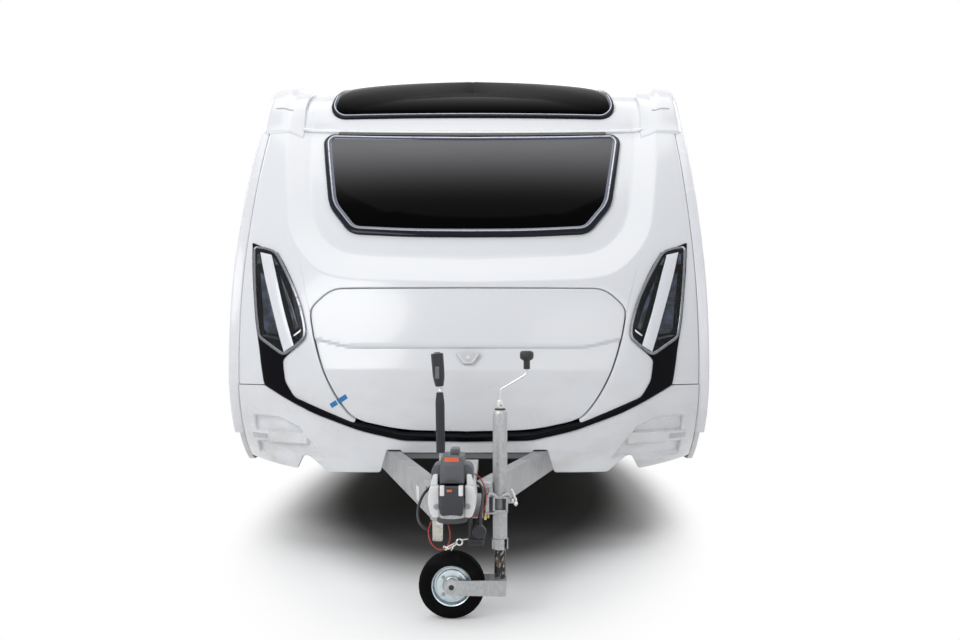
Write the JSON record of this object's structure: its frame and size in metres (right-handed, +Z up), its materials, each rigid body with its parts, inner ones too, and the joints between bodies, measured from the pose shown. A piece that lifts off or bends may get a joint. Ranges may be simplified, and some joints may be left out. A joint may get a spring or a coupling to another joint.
{
  "type": "single-axle travel caravan",
  "caption": "Tall white travel caravan body with sloping bowed nose, wide front window and lamps, on one axle, with braced drawbar, ball coupling and swivelling jockey wheel.",
  "frame": {"origin": "on the ground under the middle of the whole vehicle, centred on its overall length and width", "axes": "+Z up; the drawbar and coupling point along -Y; +X is the side with the entrance door"},
  "size_m": [2.28, 7.32, 2.61],
  "materials": {
    "white_panel": "satin",
    "white_moulding": "gloss",
    "floor_board": "matte",
    "black_plastic": "matte",
    "rail_alloy": "satin",
    "tinted_glazing": "gloss",
    "rooflight_dome": "gloss",
    "black_gloss": "gloss",
    "lamp_lens": "gloss",
    "galvanised_steel": "matte",
    "cast_coupling": "satin",
    "zinc_tube": "satin",
    "tyre_rubber": "matte",
    "rim_alloy": "satin",
    "jockey_rubber": "matte",
    "black_cable": "satin",
    "red_cable": "satin"
  },
  "bodies": {
    "root": {"awning_rails": "rail_alloy", "axle": "galvanised_steel", "breakaway_clip": "zinc_tube", "cable_breakaway": "red_cable", "cable_loop": "black_cable", "cable_main": "black_cable", "cable_safety": "red_cable", "chassis_rails": "galvanised_steel", "coupling_head": "cast_coupling", "drawbar": "galvanised_steel", "floor": "floor_board", "front_bumper": "white_moulding", "front_panel": "white_moulding", "front_window": "tinted_glazing", "handbrake_lever": "black_plastic", "jockey_clamp": "cast_coupling", "jockey_crank": "zinc_tube", "jockey_tube": "zinc_tube", "lamp_housings": "black_gloss", "locker_tub": "black_plastic", "overrun_housing": "cast_coupling", "plug_holder": "black_plastic", "rear_bumper": "white_moulding", "rear_lamps": "lamp_lens", "rear_panel": "white_moulding", "rear_window": "tinted_glazing", "road_plug": "black_plastic", "roof": "white_panel", "roof_window": "tinted_glazing", "rooflights": "rooflight_dome", "shoulder_caps": "white_moulding", "side_skirts": "white_moulding", "side_wall_left": "white_panel", "side_wall_right": "white_panel", "side_windows": "tinted_glazing", "steady_mounts": "galvanised_steel", "wheel_boxes": "black_plastic"},
    "wheel_left": {"tyre_left": "tyre_rubber", "rim_left": "rim_alloy"},
    "wheel_right": {"tyre_right": "tyre_rubber", "rim_right": "rim_alloy"},
    "jockey_post": {"jockey_stem": "zinc_tube"},
    "jockey_caster": {"jockey_fork": "zinc_tube"},
    "jockey_wheel": {"jockey_tyre": "jockey_rubber", "jockey_rim": "zinc_tube"},
    "front_left_steady": {"steady_front_left": "galvanised_steel"},
    "front_right_steady": {"steady_front_right": "galvanised_steel"},
    "rear_left_steady": {"steady_rear_left": "galvanised_steel"},
    "rear_right_steady": {"steady_rear_right": "galvanised_steel"},
    "door": {"entrance_door": "white_panel", "door_glass": "tinted_glazing"},
    "front_lid": {"locker_door": "white_moulding"},
    "hatch": {"side_hatch": "white_panel"},
    "flap": {"service_flap": "white_panel"}
  },
  "joints": [
    {"name": "wheel_left_spin", "type": "hinge", "parent": "root", "child": "wheel_left", "pos_m": [-0.985, 0.9, 0.325], "axis": [1, 0, 0], "continuous": true},
    {"name": "wheel_right_spin", "type": "hinge", "parent": "root", "child": "wheel_right", "pos_m": [0.985, 0.9, 0.325], "axis": [1, 0, 0], "continuous": true},
    {"name": "jockey_slide", "type": "slide", "parent": "root", "child": "jockey_post", "axis": [0, 0, -1], "range_m": [-0.07, 0.14]},
    {"name": "jockey_swivel", "type": "hinge", "parent": "jockey_post", "child": "jockey_caster", "pos_m": [0.142, -3.296, 0.133], "axis": [0, 0, 1], "continuous": true},
    {"name": "jockey_spin", "type": "hinge", "parent": "jockey_caster", "child": "jockey_wheel", "pos_m": [-0.017, -3.296, 0.11], "axis": [0, 1, 0], "continuous": true},
    {"name": "front_left_steady_swing", "type": "hinge", "parent": "root", "child": "front_left_steady", "pos_m": [-0.76, -1.48, 0.415], "axis": [1, 0, 0], "range_deg": [0, 50]},
    {"name": "front_right_steady_swing", "type": "hinge", "parent": "root", "child": "front_right_steady", "pos_m": [0.76, -1.48, 0.415], "axis": [1, 0, 0], "range_deg": [0, 50]},
    {"name": "rear_left_steady_swing", "type": "hinge", "parent": "root", "child": "rear_left_steady", "pos_m": [-0.76, 3.02, 0.415], "axis": [-1, 0, 0], "range_deg": [0, 50]},
    {"name": "rear_right_steady_swing", "type": "hinge", "parent": "root", "child": "rear_right_steady", "pos_m": [0.76, 3.02, 0.415], "axis": [-1, 0, 0], "range_deg": [0, 50]},
    {"name": "door_swing", "type": "hinge", "parent": "root", "child": "door", "pos_m": [1.128, -0.473, 1.4], "axis": [0, 0, -1], "range_deg": [0, 170]},
    {"name": "front_lid_swing", "type": "hinge", "parent": "root", "child": "front_lid", "pos_m": [0, -2.26, 1.168], "axis": [-1, 0, 0], "range_deg": [0, 80]},
    {"name": "hatch_swing", "type": "hinge", "parent": "root", "child": "hatch", "pos_m": [1.128, -1.46, 0.863], "axis": [0, -1, 0], "range_deg": [0, 90]},
    {"name": "flap_swing", "type": "hinge", "parent": "root", "child": "flap", "pos_m": [-1.128, 2.9, 0.963], "axis": [0, 1, 0], "range_deg": [0, 90]}
  ]
}
